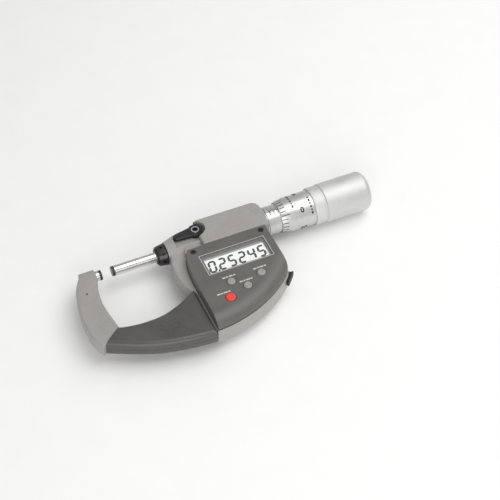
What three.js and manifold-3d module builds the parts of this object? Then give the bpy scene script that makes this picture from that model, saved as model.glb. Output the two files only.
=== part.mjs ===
// Outside micrometer with a digital display, 0 to 25 mm, as an assembly of separate parts.
// Millimetres. +X runs along the spindle from the anvil to the thimble, +Z faces out of the
// display, and -Y points at the arc of the frame. The origin is the centre of the anvil's face.
import * as THREE from 'three';
import { mergeVertices } from 'three/addons/utils/BufferGeometryUtils.js';
import Module from 'manifold-3d';

const wasm = await Module();
wasm.setup();

// Driving dimensions, in millimetres.
const FIT = 0.25; // clearance left between two pieces that touch
const OPENING = 6.41; // distance from the anvil to the spindle
const SPINDLE_R = 3.175;
const TIP_R = 3.1;
const TIP_LENGTH = 1.5;
const THREAD_R = 3.7;

const FRAME_HALF = 4.5; // half the thickness of the arms
const WEB_INSET = 3;
const WEB_HALF = 3; // half the thickness of the arc inside the grips
const PAD_HALF = 5.4;
const GRIP_HIGH = [-5.3, -45]; // the grips start on the line between these two points
const GRIP_LOW = [-18.4, -55.6];
const GRIP_SLOPE = (GRIP_HIGH[1] - GRIP_LOW[1]) / (GRIP_HIGH[0] - GRIP_LOW[0]);
const CASTING_HOLE = [-13.8, -14.5];
const HEAD_BACK = -13;
const HEAD_SIDE = -6.6; // below this the head's side slopes in to the back
const HEAD_SLOPE = 5.6;
const RIM_Z = 3.5; // joint between the head casting and the face cover
const FACE_Z = 10.5; // flat top of the face cover
const BLOCK_TOP = 10;
const BLOCK_BACK = -11;
const HEAD_WALL = 2.4;
const POCKET_FLOOR = -5.4;

const NOSE_X = 41.3;
const BLOCK_X0 = 62; // left end of the barrel block
const BARREL_X = 106.6; // where the barrel block ends and the sleeve shows
const ARC_CENTRE = [43.3, 10.3]; // centre of the head's lower edge
const ARC_R = 81.5;

const LOCK_AT = [62.1, 3.5];
const LOCK_FLOOR = 5.9;
const LOCK_HUB_R = 4.6;
const LOCK_TOP = 9.2;

const SLEEVE_R = 9.05;
const SLEEVE_END = 137;
const THIMBLE_X = 115;
const THIMBLE_R = 11.15;
const THIMBLE_STEP = 143.2;
const RATCHET_X = 137.4; // front of the ratchet sleeve's skirt
const RATCHET_BORE = 10.2;
const SKIRT_BORE = 11.4;
const SKIRT_R = 12.1;
const RATCHET_R = 12.5;
const RATCHET_END = 176;

const WINDOW = { x: 76, y: -27.2, width: 40.7, height: 15.2 };
const BUTTONS = [
  { name: 'unit_button', x: 65.1, y: -44.8, r: 2.6, colour: 0xa5a5a2 },
  { name: 'zero_button', x: 72.7, y: -51.3, r: 2.6, colour: 0xa5a5a2 },
  { name: 'hold_button', x: 84, y: -45.4, r: 2.6, colour: 0xa5a5a2 },
  { name: 'power_button', x: 60, y: -55.7, r: 3, colour: 0xf05546 },
];
const BUTTON_TOP = 11.3;
const COVER_SCREWS = [
  ['cover_screw_left', 53.6, -14.4],
  ['cover_screw_right', 97.6, -14.2],
];
const BATTERY = { x: 72, y: -36, r: 10, height: 3.2 };
const BATTERY_CAP_R = 12.4;
const PORT = { x: 100.55, y: -46.15, z: -1.4, angle: -0.742, width: 8.4, height: 3.8 };
const PLUG_SEAT = 1.4; // inner face of the plug's flange, clear of the head

// Helpers that turn three.js geometry into closed solids and back.

/** Signed volume of an indexed geometry. */
function signedVolume(points, index) {
  let sum = 0;
  const a = new THREE.Vector3();
  const b = new THREE.Vector3();
  const c = new THREE.Vector3();
  for (let i = 0; i < index.length; i += 3) {
    a.fromArray(points, index[i] * 3);
    b.fromArray(points, index[i + 1] * 3);
    c.fromArray(points, index[i + 2] * 3);
    sum += a.dot(b.cross(c));
  }
  return sum / 6;
}

/** Closed solid made from a three.js geometry. */
function solid(geometry) {
  const bare = geometry.clone();
  bare.deleteAttribute('normal');
  bare.deleteAttribute('uv');
  const merged = mergeVertices(bare, 1e-4);
  const points = new Float32Array(merged.attributes.position.array);
  const kept = [];
  const index = merged.index.array;
  for (let i = 0; i < index.length; i += 3) {
    const [a, b, c] = [index[i], index[i + 1], index[i + 2]];
    if (a !== b && b !== c && a !== c) {
      kept.push(a, b, c);
    }
  }
  if (signedVolume(points, kept) < 0) {
    kept.reverse();
  }
  const mesh = new wasm.Mesh({ numProp: 3, vertProperties: points, triVerts: new Uint32Array(kept) });
  return new wasm.Manifold(mesh);
}

/** Geometry of a solid, with flat faces. */
function geometryOf(body) {
  const mesh = body.getMesh();
  const geometry = new THREE.BufferGeometry();
  geometry.setAttribute('position', new THREE.BufferAttribute(new Float32Array(mesh.vertProperties), 3));
  geometry.setIndex(new THREE.BufferAttribute(new Uint32Array(mesh.triVerts), 1));
  const flat = geometry.toNonIndexed();
  flat.computeVertexNormals();
  return flat;
}

/** True where the outline turns sharply at point `i`. */
function isCorner(points, i) {
  const before = points[(i + points.length - 1) % points.length];
  const after = points[(i + 1) % points.length];
  const arriving = points[i].clone().sub(before);
  const leaving = after.clone().sub(points[i]);
  return Math.abs(arriving.angleTo(leaving)) > 0.35;
}

/** The outline as straight steps at least `gap` long, its corners kept, running anticlockwise. */
function stepped(shape, segments, gap) {
  const points = shape.getPoints(segments);
  if (points[0].distanceTo(points.at(-1)) < 1e-6) {
    points.pop();
  }
  const kept = [];
  const dropLooseEnd = (point) => {
    while (kept.length > 1 && !kept.at(-1).corner && kept.at(-1).point.distanceTo(point) < gap) {
      kept.pop();
    }
  };
  points.forEach((point, i) => {
    const corner = isCorner(points, i);
    if (corner) {
      dropLooseEnd(point);
    }
    if (corner || kept.length === 0 || kept.at(-1).point.distanceTo(point) >= gap) {
      kept.push({ point, corner });
    }
  });
  dropLooseEnd(points[0]);
  const outline = kept.map((entry) => entry.point);
  if (THREE.ShapeUtils.isClockWise(outline)) {
    outline.reverse();
  }
  return new THREE.Shape(outline);
}

/** Solid of a flat outline between two heights, its edges rounded by `round`. */
function plate(shape, z0, z1, round = 0, segments = 6) {
  const geometry = new THREE.ExtrudeGeometry(stepped(shape, segments, round * 1.5), {
    depth: z1 - z0 - 2 * round,
    bevelEnabled: round > 0,
    bevelSize: round,
    bevelThickness: round,
    bevelOffset: -round,
    bevelSegments: 3,
  });
  geometry.translate(0, 0, z0 + round);
  return solid(geometry);
}

/** Solid whose skin joins outlines of equal point count, given as [z, shape] from low to high. */
function lofted(levels, segments = 6) {
  const rings = levels.map(([z, shape]) => [z, shape.getPoints(segments)]);
  for (const [, ring] of rings) {
    if (ring[0].distanceTo(ring.at(-1)) < 1e-6) {
      ring.pop();
    }
  }
  const count = rings[0][1].length;
  const points = rings.flatMap(([z, ring]) => ring.flatMap((point) => [point.x, point.y, z]));
  const index = [];
  for (let level = 0; level + 1 < rings.length; level += 1) {
    for (let i = 0; i < count; i += 1) {
      const a = level * count + i;
      const b = level * count + ((i + 1) % count);
      index.push(a, b, b + count, a, b + count, a + count);
    }
  }
  const last = (rings.length - 1) * count;
  for (const [a, b, c] of THREE.ShapeUtils.triangulateShape(rings[0][1], [])) {
    index.push(c, b, a, last + a, last + b, last + c);
  }
  const geometry = new THREE.BufferGeometry();
  geometry.setAttribute('position', new THREE.BufferAttribute(new Float32Array(points), 3));
  geometry.setAttribute('normal', new THREE.BufferAttribute(new Float32Array(points.length), 3));
  geometry.setIndex(index);
  return solid(geometry);
}

/** Solid turned about the X axis from [x, radius] points. */
function turnedX(points, segments = 40) {
  const profile = points.map(([x, r]) => new THREE.Vector2(r, x));
  const geometry = new THREE.LatheGeometry(profile, segments);
  geometry.rotateZ(-Math.PI / 2);
  return solid(geometry);
}

/** Solid turned about the Z axis from [radius, z] points. */
function turnedZ(points, segments = 32) {
  const profile = points.map(([r, z]) => new THREE.Vector2(r, z));
  const geometry = new THREE.LatheGeometry(profile, segments);
  geometry.rotateX(Math.PI / 2);
  return solid(geometry);
}

/** Plain rod along X. */
function rodX(x0, x1, r, segments = 40) {
  return turnedX([[x0, 0], [x0, r], [x1, r], [x1, 0]], segments);
}

/** Plain rod along Z, standing at x, y. */
function rodZ(x, y, z0, z1, r, segments = 24) {
  return turnedZ([[0, z0], [r, z0], [r, z1], [0, z1]], segments).translate([x, y, 0]);
}

/** Tube along X. */
function tubeX(x0, x1, inner, outer, segments = 40) {
  const profile = [[x0, inner], [x0, outer], [x1, outer], [x1, inner], [x0, inner]];
  return turnedX(profile, segments);
}

/** Box between two corners. */
function box(low, high) {
  const size = high.map((value, i) => value - low[i]);
  const geometry = new THREE.BoxGeometry(...size);
  geometry.translate(...high.map((value, i) => (value + low[i]) / 2));
  return solid(geometry);
}

/** Rectangle centred on x, y with rounded corners. */
function roundedRectangle(x, y, width, height, r) {
  const [x0, x1, y0, y1] = [x - width / 2, x + width / 2, y - height / 2, y + height / 2];
  const shape = new THREE.Shape();
  shape.moveTo(x0 + r, y0);
  shape.lineTo(x1 - r, y0);
  shape.absarc(x1 - r, y0 + r, r, -Math.PI / 2, 0, false);
  shape.lineTo(x1, y1 - r);
  shape.absarc(x1 - r, y1 - r, r, 0, Math.PI / 2, false);
  shape.lineTo(x0 + r, y1);
  shape.absarc(x0 + r, y1 - r, r, Math.PI / 2, Math.PI, false);
  shape.lineTo(x0, y0 + r);
  shape.absarc(x0 + r, y0 + r, r, Math.PI, 1.5 * Math.PI, false);
  return shape;
}

/** Spline through [x, y] points, added to a shape. */
function curveThrough(shape, points) {
  shape.splineThru(points.map(([x, y]) => new THREE.Vector2(x, y)));
}

/** Named mesh of one part. */
function part(name, body, colour, roughness, metalness, at = [0, 0, 0]) {
  const material = new THREE.MeshStandardMaterial({ color: colour, roughness, metalness });
  const mesh = new THREE.Mesh(geometryOf(body), material);
  mesh.name = name;
  mesh.position.set(...at);
  return mesh;
}

// Outlines of the frame, drawn in the XY plane.

/** Arm that carries the anvil. */
function armOutline() {
  const shape = new THREE.Shape();
  shape.moveTo(-13.2, 4.3);
  shape.lineTo(-3.8, 4.3);
  shape.lineTo(-3.8, -4);
  curveThrough(shape, [[-6.6, -14], [-7.6, -27], GRIP_HIGH]);
  shape.lineTo(...GRIP_LOW);
  curveThrough(shape, [[-22, -46], [-22.6, -30], [-19.4, -11], [-13.2, 1]]);
  shape.closePath();
  return shape;
}

/** Arc of the frame with its edges moved in by `inset`, up to `x1` on the right. */
function arcOutline(inset, x1 = 44.9) {
  const shape = new THREE.Shape();
  shape.moveTo(-12, -42.5 - inset);
  curveThrough(shape, [[-3, -45.8 - inset], [9, -47.5 - inset], [22, -46.7 - inset], [34, -42.2 - inset]]);
  shape.lineTo(x1, -36.4 - inset);
  shape.lineTo(x1, -72.4 + inset);
  curveThrough(shape, [[32, -71.4 + inset], [14, -67.9 + inset], [0, -62.7 + inset], [-24, -51 + inset]]);
  shape.closePath();
  return shape;
}

/** Everything on the arm's side of the line where the grips start, moved over by `gap`. */
function armSide(gap) {
  const [hx, hy] = GRIP_HIGH;
  const [lx, ly] = GRIP_LOW;
  const shape = new THREE.Shape();
  shape.moveTo(hx + 4 + gap, hy + 4 * GRIP_SLOPE - gap);
  shape.lineTo(lx - 9 + gap, ly - 9 * GRIP_SLOPE - gap);
  shape.lineTo(lx - 12, ly + 20);
  shape.lineTo(hx, hy + 20);
  shape.closePath();
  return plate(shape, -20, 20);
}

/** Neck that joins the arc to the nose. */
function neckOutline() {
  const shape = new THREE.Shape();
  shape.moveTo(NOSE_X, 3);
  shape.lineTo(NOSE_X, -8.2);
  curveThrough(shape, [[39.6, -14], [39.4, -22], [40.6, -31], [45, -41]]);
  shape.lineTo(56, -41);
  shape.lineTo(56, 3);
  shape.closePath();
  return shape;
}

/** Head seen from the front, with its edge moved in by `inset` and its top at `top`. */
function headOutline(inset, top) {
  const [cx, cy] = ARC_CENTRE;
  const r = ARC_R - inset;
  const left = 45.3 + inset;
  const right = 102.3 - inset;
  const corner = 3;
  const start = Math.asin((left - cx) / r);
  const end = Math.asin((right - corner - cx) / r);
  const shape = new THREE.Shape();
  shape.moveTo(left, cy - r * Math.cos(start));
  shape.absarc(cx, cy, r, start - Math.PI / 2, end - Math.PI / 2, false);
  const low = cy - r * Math.cos(end);
  shape.quadraticCurveTo(right, low + corner * 0.9, right, low + 2.4 * corner);
  shape.lineTo(right, top);
  shape.lineTo(50.6 + inset, top);
  curveThrough(shape, [[48.2 + inset, -15], [46.2 + inset, -23], [left, -34]]);
  shape.closePath();
  return shape;
}

/** Barrel block seen from the front. */
function blockOutline() {
  const shape = new THREE.Shape();
  shape.moveTo(BLOCK_X0, -10.6);
  shape.lineTo(104.8, -10.6);
  shape.lineTo(BARREL_X, 0);
  shape.lineTo(105.6, 6.2);
  shape.quadraticCurveTo(104.6, 10.5, 101, 10.5);
  shape.lineTo(66, 10.5);
  shape.quadraticCurveTo(BLOCK_X0, 10.5, BLOCK_X0, 8);
  shape.closePath();
  return shape;
}

/** Shelf between the nose and the barrel block, where the head's top left corner meets them. */
function shoulderOutline() {
  const shape = new THREE.Shape();
  shape.moveTo(49.4, -10.7);
  shape.lineTo(51.4, -6);
  shape.lineTo(55, -4);
  shape.lineTo(70, -4);
  shape.lineTo(70, -10.7);
  shape.closePath();
  return shape;
}

// Frame.

/** Solid metal of the frame before anything is cut from it. */
function frameBlank() {
  const boss = turnedX([[-13.2, 0], [-13.2, 3.8], [-12.6, 4.4], [-4.2, 4.4], [-3.8, 4], [-3.8, 0]]);
  const armTop = box([-20, 0, -6], [0, 8, 6]);
  const arm = plate(armOutline(), -FRAME_HALF, FRAME_HALF, 1).subtract(armTop).add(boss);
  const web = plate(arcOutline(WEB_INSET, 50), -WEB_HALF, WEB_HALF).subtract(armSide(0));
  const link = plate(armRoot(), -WEB_HALF, WEB_HALF);
  const neck = plate(neckOutline(), -FRAME_HALF, FRAME_HALF, 1.6);
  const nose = turnedX([[NOSE_X, 0], [NOSE_X, 7.1], [48.5, 9.2], [66, 9.2], [66, 0]]);
  const head = lofted([
    [HEAD_BACK, headOutline(HEAD_SLOPE, -11)], [HEAD_SIDE, headOutline(0, -8)],
    [RIM_Z - 0.5, headOutline(0, -8)], [RIM_Z, headOutline(0.4, -8)],
  ]);
  const block = plate(blockOutline(), BLOCK_BACK, BLOCK_TOP, 1.6);
  const shoulder = plate(shoulderOutline(), BLOCK_BACK, 7, 1);
  return arm.add(web).add(link).add(neck).add(nose).add(head).add(block).add(shoulder);
}

/** Strip that ties the arc into the arm below the grips' left end. */
function armRoot() {
  const shape = new THREE.Shape();
  shape.moveTo(-9, -45);
  shape.lineTo(2, -51);
  shape.lineTo(0, -58);
  shape.lineTo(-15, -50.5);
  shape.closePath();
  return shape;
}

/** Everything that is bored or milled out of the frame. */
function frameCuts() {
  const [lx, ly] = LOCK_AT;
  const anvilHole = rodX(-14, 0, 2.4 + FIT);
  const castingHole = rodZ(...CASTING_HOLE, FRAME_HALF - 1.4, FRAME_HALF + 1, 0.75, 14);
  const bushBore = rodX(40, 58.3, 5.2 + FIT);
  const spindleBore = rodX(58, 79, THREAD_R + 0.3);
  const encoderBore = rodX(78, 97, 8.2);
  const sleeveBore = rodX(96, 110, 8.4 + FIT);
  const pocket = plate(headOutline(HEAD_WALL, -12.5), POCKET_FLOOR, RIM_Z + 1);
  const seat = plate(headOutline(0.2, -10.75), RIM_Z, 20);
  const groove = gasketRing(0.15, RIM_Z - 1.1, RIM_Z + 1);
  const lockRecess = rodZ(lx, ly, LOCK_FLOOR, 12, 6.2, 32);
  const lockSlot = box([46.8, -4.6, LOCK_FLOOR], [lx, 14, 12]);
  const lockHole = rodZ(lx, ly, 0, LOCK_FLOOR + 1, 1.9);
  const battery = rodZ(BATTERY.x, BATTERY.y, HEAD_BACK + 2.6, POCKET_FLOOR - 1.2, BATTERY.r + 0.4, 40);
  const wire = rodZ(BATTERY.x, BATTERY.y, POCKET_FLOOR - 2, POCKET_FLOOR + 1, 2);
  const cap = rodZ(BATTERY.x, BATTERY.y, HEAD_BACK - 1, HEAD_BACK + 2.8, BATTERY_CAP_R + 0.3, 40);
  const flexSlot = box([83.6, -20, -4.6], [89.4, -4, -2.4]);
  const screws = COVER_SCREWS.map(([, x, y]) => rodZ(x, y, -2, RIM_Z + 1, 1.3, 16));
  const cuts = [anvilHole, castingHole, bushBore, spindleBore, encoderBore, sleeveBore, pocket, seat, groove];
  cuts.push(lockRecess, lockSlot, lockHole, battery, wire, cap, flexSlot, portHole(), ...screws);
  return cuts;
}

/** Bosses left standing in the pocket for the cover's screws. */
function screwBosses() {
  return COVER_SCREWS.map(([, x, y]) => rodZ(x, y, POCKET_FLOOR - 1, RIM_Z, 2.6, 20));
}

/** Cast frame with its anvil arm, arc, neck, nose, barrel block and head. */
function makeFrame() {
  let body = frameBlank();
  const cuts = frameCuts();
  const screwHoles = cuts.splice(-COVER_SCREWS.length);
  for (const cut of cuts) {
    body = body.subtract(cut);
  }
  for (const boss of screwBosses()) {
    body = body.add(boss);
  }
  for (const hole of screwHoles) {
    body = body.subtract(hole);
  }
  return part('frame', body, 0xa6a4a1, 0.5, 0.1);
}

/** Turns a shape built along +X at the origin so that it points out of the port. */
function atPort(body) {
  return body.rotate([0, 0, THREE.MathUtils.radToDeg(PORT.angle)]).translate([PORT.x, PORT.y, PORT.z]);
}

/** Hole for the data port through the head's wall. */
function portHole() {
  return atPort(box([-8, -PORT.width / 2, -PORT.height / 2], [6, PORT.width / 2, PORT.height / 2]));
}

/** Ring of the cover's seal, grown by `extra` on each side. */
function gasketRing(extra, z0, z1) {
  const outer = plate(headOutline(0.75 - extra, -9.3 + extra), z0, z1);
  const inner = plate(headOutline(1.65 + extra, -10.2 - extra), z0 - 1, z1 + 1);
  return outer.subtract(inner);
}

// Anvil, spindle and what guides it.

function makeAnvil() {
  const profile = [[-12.9, 0], [-12.9, 2.4], [-3.5, 2.4], [-3.5, SPINDLE_R]];
  profile.push([-TIP_LENGTH - 0.1, SPINDLE_R], [-TIP_LENGTH - 0.1, 0]);
  return part('anvil', turnedX(profile), 0xd8d8d6, 0.25, 0.9);
}

function makeAnvilTip() {
  return part('anvil_carbide_tip', rodX(-TIP_LENGTH, 0, TIP_R), 0x5a5a5c, 0.2, 0.8);
}

function makeSpindle() {
  const start = OPENING + TIP_LENGTH + 0.1;
  const profile = [[start, 0], [start, SPINDLE_R], [96, SPINDLE_R], [96.6, THREAD_R]];
  profile.push([136, THREAD_R], [136.6, 3], [152.8, 3], [152.8, 0]);
  return part('spindle', turnedX(profile), 0xe2e2e0, 0.18, 0.95);
}

function makeSpindleTip() {
  return part('spindle_carbide_tip', rodX(OPENING, OPENING + TIP_LENGTH, TIP_R), 0x5a5a5c, 0.2, 0.8);
}

function makeFrontCollar() {
  const profile = [[35.4, 5.2], [35.4, 5.6], [35.8, 6], [40.6, 6.8], [41, 6.4], [41, 3.7]];
  profile.push([37.2, 3.7], [37.2, 5.2], [35.4, 5.2]);
  let body = turnedX(profile);
  const holes = 8;
  for (let i = 0; i < holes; i += 1) {
    const hole = rodZ(38.4, 0, 4.8, 9, 0.8, 8).rotate([40 - (i * 360) / holes, 0, 0]);
    body = body.subtract(hole);
  }
  return part('front_collar', body, 0xb9b9b7, 0.3, 0.7);
}

function makeSpindleSeal() {
  return part('spindle_seal', tubeX(34.9, 36.9, SPINDLE_R + 0.2, 4.9), 0x151515, 0.7, 0);
}

function makeGuideBush() {
  return part('spindle_guide_bush', tubeX(41.6, 58, SPINDLE_R + 0.2, 5.2), 0xb08a4a, 0.4, 0.8);
}

// Spindle lock.

function makeLockLever() {
  const hub = turnedZ([
    [1.9, LOCK_FLOOR + 0.3], [LOCK_HUB_R, LOCK_FLOOR + 0.3], [LOCK_HUB_R, LOCK_TOP - 0.6],
    [LOCK_HUB_R - 0.6, LOCK_TOP], [3.1, LOCK_TOP], [3.1, LOCK_TOP - 2], [1.9, LOCK_TOP - 2],
    [1.9, LOCK_FLOOR + 0.3],
  ]);
  const shape = new THREE.Shape();
  shape.moveTo(-2.4, 3.6);
  shape.lineTo(-12, 1.9);
  shape.quadraticCurveTo(-14.6, 1.4, -14.6, -0.6);
  shape.quadraticCurveTo(-14.6, -2.8, -12, -3);
  shape.lineTo(-2.4, -3.6);
  shape.closePath();
  const core = rodZ(0, 0, 0, 12, LOCK_HUB_R - 0.5);
  const arm = plate(shape, LOCK_FLOOR + 0.6, LOCK_TOP - 0.5, 0.6).subtract(core);
  return part('lock_lever', hub.add(arm), 0x1b1b1c, 0.55, 0.1, [...LOCK_AT, 0]);
}

/** Six-sided socket in the head of a screw. */
function socket(r, z0, z1) {
  return rodZ(0, 0, z0, z1, r, 6);
}

function makeLockScrew() {
  const head = rodZ(0, 0, LOCK_TOP - 1.8, LOCK_TOP + 0.1, 2.85, 28);
  const body = head.add(rodZ(0, 0, 4.3, LOCK_TOP - 1.5, 1.6)).subtract(socket(1.35, LOCK_TOP - 1.2, 12));
  return part('lock_screw', body, 0xb8b6b0, 0.35, 0.8, [...LOCK_AT, 0]);
}

function makeLockShoe() {
  const [x, y] = LOCK_AT;
  const body = rodZ(x, y, 0.6, 4.1, 1.6).subtract(rodX(x - 4, x + 4, SPINDLE_R + 0.2));
  return part('lock_shoe', body, 0xb08a4a, 0.4, 0.8);
}

// Grips.

/** Both grips in one: a shell round the arc, from the arm's end to the head. */
function gripShell() {
  const outer = plate(arcOutline(0), -PAD_HALF, PAD_HALF, 2.8, 8);
  const web = plate(arcOutline(WEB_INSET - FIT, 50), -WEB_HALF - FIT, WEB_HALF + FIT);
  const root = plate(armRoot(), -WEB_HALF - FIT, WEB_HALF + FIT);
  const roots = root.add(root.translate([0.2, -0.3, 0])).add(root.translate([0.2, 0.3, 0]));
  const neck = plate(neckOutline(), -FRAME_HALF - FIT, FRAME_HALF + FIT);
  const necks = neck.add(neck.translate([-FIT, -FIT, 0]));
  return outer.subtract(web).subtract(roots).subtract(armSide(0.2)).subtract(necks);
}

function makeGrips() {
  const shell = gripShell();
  const front = shell.intersect(box([-40, -90, 0.1], [60, 0, 20]));
  const rear = shell.intersect(box([-40, -90, -20], [60, 0, -0.1]));
  const pads = [];
  for (const [name, body] of [['front_grip_pad', front], ['rear_grip_pad', rear]]) {
    const pieces = body.decompose();
    pieces.sort((a, b) => b.volume() - a.volume());
    pads.push(part(name, pieces[0], 0x4c4b4a, 0.75, 0));
  }
  return pads;
}

// Face cover and what sits behind it.

/** Block that rolls down to the seam along the lower edge of the cover. */
function rollBlank() {
  const roll = FACE_Z - RIM_Z - 0.9;
  const edge = ARC_R - 0.5;
  const points = [[0, 0], [edge, 0]];
  const steps = 8;
  for (let i = 0; i <= steps; i += 1) {
    const t = (i / steps) * (Math.PI / 2);
    points.push([edge - roll * 1.5 * (1 - Math.cos(t)), FACE_Z - roll + roll * Math.sin(t)]);
  }
  points.push([0, FACE_Z]);
  return turnedZ(points, 120).translate([...ARC_CENTRE, 0]);
}

function makeFrontCover() {
  const outer = plate(headOutline(0.5, -11), RIM_Z + 0.2, FACE_Z, 0.7).intersect(rollBlank());
  const hollow = plate(headOutline(2.6, -13), 0, FACE_Z - 4.6);
  const { x, y, width, height } = WINDOW;
  const deep = plate(roundedRectangle(x, y, width + 4.8, height + 4.8, 1.4), 0, FACE_Z - 1.8);
  const glass = plate(roundedRectangle(x, y, width + 0.6, height + 0.6, 1), FACE_Z - 1.3, FACE_Z + 1);
  const sight = plate(roundedRectangle(x, y, width - 2.4, height - 2.4, 0.6), 0, FACE_Z + 1);
  const keys = keypadPlate(0.4, 0, FACE_Z - 1.8);
  let body = outer.subtract(hollow).subtract(deep).subtract(keys).subtract(glass).subtract(sight);
  for (const button of BUTTONS) {
    body = body.subtract(rodZ(button.x, button.y, 0, FACE_Z + 1, button.r + 0.3, 28));
  }
  for (const [, sx, sy] of COVER_SCREWS) {
    body = body.subtract(rodZ(sx, sy, 0, FACE_Z + 1, 1.2, 16));
    body = body.subtract(rodZ(sx, sy, FACE_Z - 1.3, FACE_Z + 1, 1.9, 20));
  }
  return part('front_cover', body, 0x5a5856, 0.6, 0.05);
}

function makeDisplayWindow() {
  const { x, y, width, height } = WINDOW;
  const body = plate(roundedRectangle(x, y, width, height, 0.8), FACE_Z - 1.1, FACE_Z - 0.1);
  return part('display_window', body, 0xdfe6e4, 0.08, 0);
}

function makeDisplayPanel() {
  const { x, y, width, height } = WINDOW;
  const body = plate(roundedRectangle(x, y, width + 1.6, height + 1.6, 0.4), 6.8, 8.5);
  return part('display_panel', body, 0xd5d8d0, 0.4, 0);
}

function makeDisplayHolder() {
  const { x, y, width, height } = WINDOW;
  const outer = plate(roundedRectangle(x, y, width + 4, height + 4, 1), 4.2, 8.4);
  const inner = plate(roundedRectangle(x, y, width + 2.2, height + 2.2, 0.6), 6.5, 9);
  const sight = plate(roundedRectangle(x, y, width - 6, height - 6, 1), 4, 9);
  return part('display_holder', outer.subtract(inner).subtract(sight), 0x2a2a2a, 0.6, 0);
}

function makeCircuitBoard() {
  let body = plate(headOutline(5.2, -17.4), 2.6, 3.8);
  for (const [, x, y] of COVER_SCREWS) {
    body = body.subtract(rodZ(x, y, 0, 6, 3, 16));
  }
  return part('circuit_board', body, 0x2d6a3e, 0.5, 0.1);
}

/** Plate over the buttons, grown by `extra` on each side. */
function keypadPlate(extra, z0, z1) {
  const sheet = plate(roundedRectangle(72, -50.2, 31 + 2 * extra, 16.6 + 2 * extra, 2), z0, z1);
  return sheet.intersect(plate(headOutline(7.6 - extra, -13), z0 - 1, z1 + 1));
}

function makeKeypad() {
  let body = keypadPlate(0, 6.2, 7);
  for (const button of BUTTONS) {
    body = body.add(rodZ(button.x, button.y, 5.6, 7.4, 1.4, 16));
  }
  return part('keypad_membrane', body, 0x8a8a88, 0.8, 0);
}

function makeButtons() {
  return BUTTONS.map((button) => {
    const low = 8.4;
    const profile = [[0, low], [button.r, low], [button.r, BUTTON_TOP - 0.5]];
    profile.push([button.r - 0.5, BUTTON_TOP - 0.1], [0, BUTTON_TOP]);
    const body = turnedZ(profile, 28);
    return part(button.name, body, button.colour, 0.5, 0, [button.x, button.y, 0]);
  });
}

function makeCoverScrews() {
  return COVER_SCREWS.map(([name, x, y]) => {
    const head = rodZ(0, 0, FACE_Z - 1.1, FACE_Z - 0.2, 1.65, 20);
    const shank = rodZ(0, 0, -1, FACE_Z - 1, 0.95, 14);
    const slot = box([-0.25, -2, FACE_Z - 0.6], [0.25, 2, FACE_Z + 1]);
    const cross = box([-2, -0.25, FACE_Z - 0.6], [2, 0.25, FACE_Z + 1]);
    const ends = rodZ(0, 0, 0, 20, 1, 16);
    const recess = slot.add(cross).intersect(ends);
    return part(name, head.add(shank).subtract(recess), 0x9a9a98, 0.35, 0.8, [x, y, 0]);
  });
}

function makeGasket() {
  return part('cover_gasket', gasketRing(-0.1, RIM_Z - 0.9, RIM_Z + 0.05), 0x1a1a1a, 0.8, 0);
}

// Battery and data port.

function makeBattery() {
  const z = HEAD_BACK + 2.9;
  const profile = [[0, z], [8.6, z], [8.6, z + 0.4], [BATTERY.r, z + 0.6]];
  profile.push([BATTERY.r, z + BATTERY.height], [0, z + BATTERY.height]);
  const body = turnedZ(profile, 40);
  return part('battery', body, 0xc8c8c6, 0.25, 0.9, [BATTERY.x, BATTERY.y, 0]);
}

function makeBatteryCap() {
  const z = HEAD_BACK + 0.3;
  const disc = rodZ(0, 0, z, z + 2.2, BATTERY_CAP_R, 40);
  const slot = box([-8, -0.9, z - 1], [8, 0.9, z + 0.9]);
  const groove = turnedZ([
    [BATTERY_CAP_R - 0.9, z + 0.9], [BATTERY_CAP_R + 1, z + 0.9],
    [BATTERY_CAP_R + 1, z + 1.9], [BATTERY_CAP_R - 0.9, z + 1.9], [BATTERY_CAP_R - 0.9, z + 0.9],
  ], 40);
  const body = disc.subtract(slot).subtract(groove);
  return part('battery_cover', body, 0x2a2a2b, 0.6, 0, [BATTERY.x, BATTERY.y, 0]);
}

function makeBatterySeal() {
  const z = HEAD_BACK + 1.25;
  const r = BATTERY_CAP_R;
  const profile = [[r - 0.75, z], [r + 0.05, z], [r + 0.05, z + 0.8], [r - 0.75, z + 0.8], [r - 0.75, z]];
  const body = turnedZ(profile, 40);
  return part('battery_cover_seal', body, 0x101010, 0.7, 0, [BATTERY.x, BATTERY.y, 0]);
}

function makeDataConnector() {
  const [w, h] = [PORT.width / 2 - FIT, PORT.height / 2 - FIT];
  const body = box([-6.5, -w, -h], [-2, w, h]);
  const tongue = box([-3.4, -w + 1.2, -0.5], [-1, w - 1.2, 0.5]);
  const well = box([-3.4, -w + 0.7, -h + 0.5], [0, w - 0.7, h - 0.5]);
  return part('data_connector', atPort(body.subtract(well).add(tongue)), 0x3a3a3a, 0.5, 0.2);
}

function makePortPlug() {
  const [w, h] = [PORT.width / 2 - 0.3, PORT.height / 2 - 0.3];
  const neck = box([-0.6, -w, -h], [PLUG_SEAT + 0.3, w, h]);
  const outline = roundedRectangle(0, 0, PORT.width + 1.2, PORT.height + 1.2, 1.6);
  const flange = plate(outline, 0, 1.2, 0.4, 6).rotate([0, 0, 90]).rotate([0, 90, 0]);
  const body = neck.add(flange.translate([PLUG_SEAT, 0, 0]));
  return part('data_port_plug', atPort(body), 0x161616, 0.75, 0);
}

// Encoder.

function makeEncoder() {
  const hub = tubeX(79.4, 84.2, SPINDLE_R + 0.2, 4.8);
  const rotor = hub.add(tubeX(84, 85.4, SPINDLE_R + 0.2, 7.4));
  const stator = tubeX(86, 87.4, 4.2, 7.6);
  const carrier = tubeX(87.7, 95.6, 5, 7.9);
  return {
    rotor: part('encoder_rotor', rotor, 0xb8b8b0, 0.4, 0.5),
    fixed: [
      part('encoder_stator', stator, 0x2d6a3e, 0.5, 0.1),
      part('encoder_carrier', carrier, 0xb08a4a, 0.4, 0.8),
    ],
  };
}

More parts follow.
